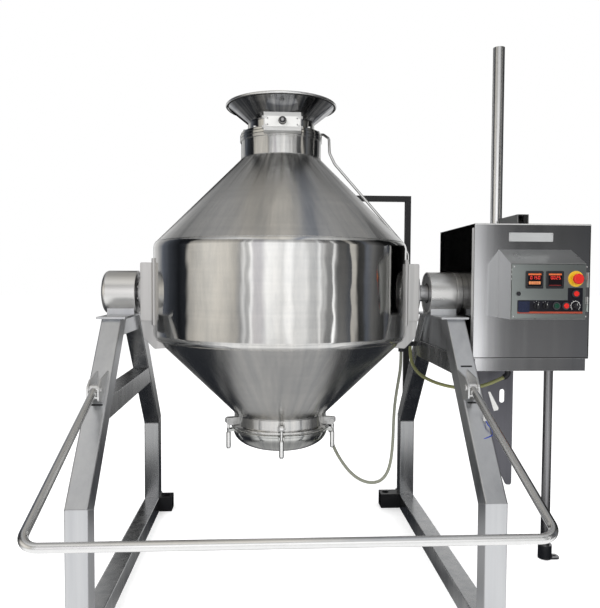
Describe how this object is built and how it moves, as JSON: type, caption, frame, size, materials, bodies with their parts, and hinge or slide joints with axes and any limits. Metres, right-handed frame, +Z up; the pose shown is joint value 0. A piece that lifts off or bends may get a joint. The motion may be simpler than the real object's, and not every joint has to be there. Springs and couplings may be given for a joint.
{
  "type": "conical blender",
  "caption": "Double-cone tumbling blender: vessel on trunnions between two A-stands, drive cabinet with console, swing-up guard rail.",
  "frame": {"origin": "on the floor, centre of the four floor anchor holes, straight below the middle of the vessel", "axes": "+X along the trunnion axis towards the drive cabinet, +Y away from the guard rail, +Z up"},
  "size_m": [1.962, 1.8792, 2.258],
  "materials": {
    "polished_steel": "bright polished stainless steel",
    "satin_steel": "satin stainless steel",
    "leg_steel": "brushed stainless steel tube",
    "cabinet_steel": "brushed stainless sheet",
    "door_steel": "brushed stainless panel",
    "dark_steel": "dark satin sheet",
    "black_steel": "black satin paint",
    "machined_steel": "machined steel",
    "motor_paint": "blue-grey machine paint",
    "white_plate": "pale satin plate",
    "seal_rubber": "white food-grade rubber",
    "grey_cable": "grey-green cable jacket",
    "yellow_green_cable": "yellow-green cable jacket",
    "black_plastic": "black moulded plastic",
    "yellow_plastic": "yellow moulded plastic",
    "red_plastic": "red moulded plastic",
    "green_plastic": "green moulded plastic"
  },
  "bodies": {
    "root": {"left_bearing_housing": "satin_steel", "right_bearing_housing": "satin_steel", "trunnion_bearings": "machined_steel", "left_front_leg": "leg_steel", "left_rear_leg": "leg_steel", "right_front_leg": "leg_steel", "right_rear_leg": "leg_steel", "base_runners": "leg_steel", "braces": "leg_steel", "head_plates": "leg_steel", "anchor_feet": "black_steel", "guard_brackets": "leg_steel", "cabinet_body": "cabinet_steel", "cabinet_back_cover": "cabinet_steel", "cabinet_base_frame": "cabinet_steel", "console_body": "cabinet_steel", "blank_plate": "white_plate", "mast": "satin_steel", "roof_duct": "cabinet_steel", "support_pole": "leg_steel", "lower_guard_plate": "dark_steel", "sensor_arm": "black_steel", "supply_cable": "yellow_green_cable", "cable_glands": "black_plastic", "gear_motor": "motor_paint"},
    "vessel": {"vessel_shell": "polished_steel", "inlet_valve_body": "polished_steel", "valve_operator": "white_plate", "feed_funnel": "polished_steel", "saddles": "satin_steel", "left_trunnion": "machined_steel", "right_trunnion": "machined_steel", "bull_gear": "machined_steel", "air_pipe": "satin_steel", "lid_seal": "seal_rubber", "discharge_lid": "polished_steel", "clamp_lugs": "satin_steel", "lid_cable": "grey_cable", "lid_cable_glands": "black_plastic"},
    "inlet_valve": {"inlet_valve_disc": "polished_steel"},
    "pinion": {"drive_pinion": "machined_steel"},
    "guard": {"guard_rail": "satin_steel"},
    "door": {"console_door": "door_steel", "panel_meters": "black_plastic", "legend_plate": "black_plastic", "control_bezels": "satin_steel", "estop_plate": "yellow_plastic"},
    "estop_button": {"estop_button": "red_plastic"},
    "start_button": {"start_button": "green_plastic"},
    "stop_button": {"stop_button": "red_plastic"},
    "reset_button": {"reset_button": "red_plastic"},
    "left_selector": {"left_selector": "black_plastic"},
    "right_selector": {"right_selector": "black_plastic"},
    "speed_knob": {"speed_knob": "black_plastic"},
    "door_lock": {"door_lock": "black_plastic"},
    "clamp_1": {"swing_bolt_1": "satin_steel"},
    "clamp_2": {"swing_bolt_2": "satin_steel"},
    "clamp_3": {"swing_bolt_3": "satin_steel"},
    "clamp_4": {"swing_bolt_4": "satin_steel"},
    "clamp_5": {"swing_bolt_5": "satin_steel"}
  },
  "joints": [
    {"name": "vessel_turn", "type": "hinge", "parent": "root", "child": "vessel", "pos_m": [0, 0, 1.165], "axis": [1, 0, 0], "continuous": true},
    {"name": "pinion_spin", "type": "hinge", "parent": "root", "child": "pinion", "pos_m": [0.806, 0, 1.015], "axis": [1, 0, 0], "continuous": true},
    {"name": "valve_turn", "type": "hinge", "parent": "vessel", "child": "inlet_valve", "pos_m": [0, 0, 1.839], "axis": [0, 1, 0], "range_deg": [0, 90]},
    {"name": "guard_swing", "type": "hinge", "parent": "root", "child": "guard", "pos_m": [0, -0.47, 0.84], "axis": [-1, 0, 0], "range_deg": [0, 80]},
    {"name": "door_swing", "type": "hinge", "parent": "root", "child": "door", "pos_m": [1.156, -0.3443, 1.165], "axis": [0, 0, 1], "range_deg": [0, 110]},
    {"name": "estop_button_push", "type": "slide", "parent": "door", "child": "estop_button", "axis": [0, 1, 0], "range_m": [0, 0.005]},
    {"name": "start_button_push", "type": "slide", "parent": "door", "child": "start_button", "axis": [0, 1, 0], "range_m": [0, 0.004], "stiffness_N_per_m": 400},
    {"name": "stop_button_push", "type": "slide", "parent": "door", "child": "stop_button", "axis": [0, 1, 0], "range_m": [0, 0.004], "stiffness_N_per_m": 400},
    {"name": "reset_button_push", "type": "slide", "parent": "door", "child": "reset_button", "axis": [0, 1, 0], "range_m": [0, 0.004], "stiffness_N_per_m": 400},
    {"name": "left_selector_turn", "type": "hinge", "parent": "door", "child": "left_selector", "pos_m": [0.957, -0.35, 1.127], "axis": [0, 1, 0], "range_deg": [-45, 45]},
    {"name": "right_selector_turn", "type": "hinge", "parent": "door", "child": "right_selector", "pos_m": [0.992, -0.35, 1.127], "axis": [0, 1, 0], "range_deg": [-45, 45]},
    {"name": "speed_knob_turn", "type": "hinge", "parent": "door", "child": "speed_knob", "pos_m": [1.108, -0.35, 1.127], "axis": [0, 1, 0], "range_deg": [-135, 135]},
    {"name": "door_lock_turn", "type": "hinge", "parent": "door", "child": "door_lock", "pos_m": [0.896, -0.35, 1.172], "axis": [0, 1, 0], "range_deg": [0, 90]},
    {"name": "clamp_1_swing", "type": "hinge", "parent": "vessel", "child": "clamp_1", "pos_m": [0, -0.227, 0.637], "axis": [-1, 0, 0], "range_deg": [0, 95]},
    {"name": "clamp_2_swing", "type": "hinge", "parent": "vessel", "child": "clamp_2", "pos_m": [0.21589, -0.07015, 0.637], "axis": [-0.309, -0.9511, 0], "range_deg": [0, 95]},
    {"name": "clamp_3_swing", "type": "hinge", "parent": "vessel", "child": "clamp_3", "pos_m": [0.13343, 0.18365, 0.637], "axis": [0.809, -0.5878, 0], "range_deg": [0, 95]},
    {"name": "clamp_4_swing", "type": "hinge", "parent": "vessel", "child": "clamp_4", "pos_m": [-0.13343, 0.18365, 0.637], "axis": [0.809, 0.5878, 0], "range_deg": [0, 95]},
    {"name": "clamp_5_swing", "type": "hinge", "parent": "vessel", "child": "clamp_5", "pos_m": [-0.21589, -0.07015, 0.637], "axis": [-0.309, 0.9511, 0], "range_deg": [0, 95]}
  ],
  "couplings": [
    {"joint": "pinion_spin", "follows": "vessel_turn", "ratio": -4}
  ]
}
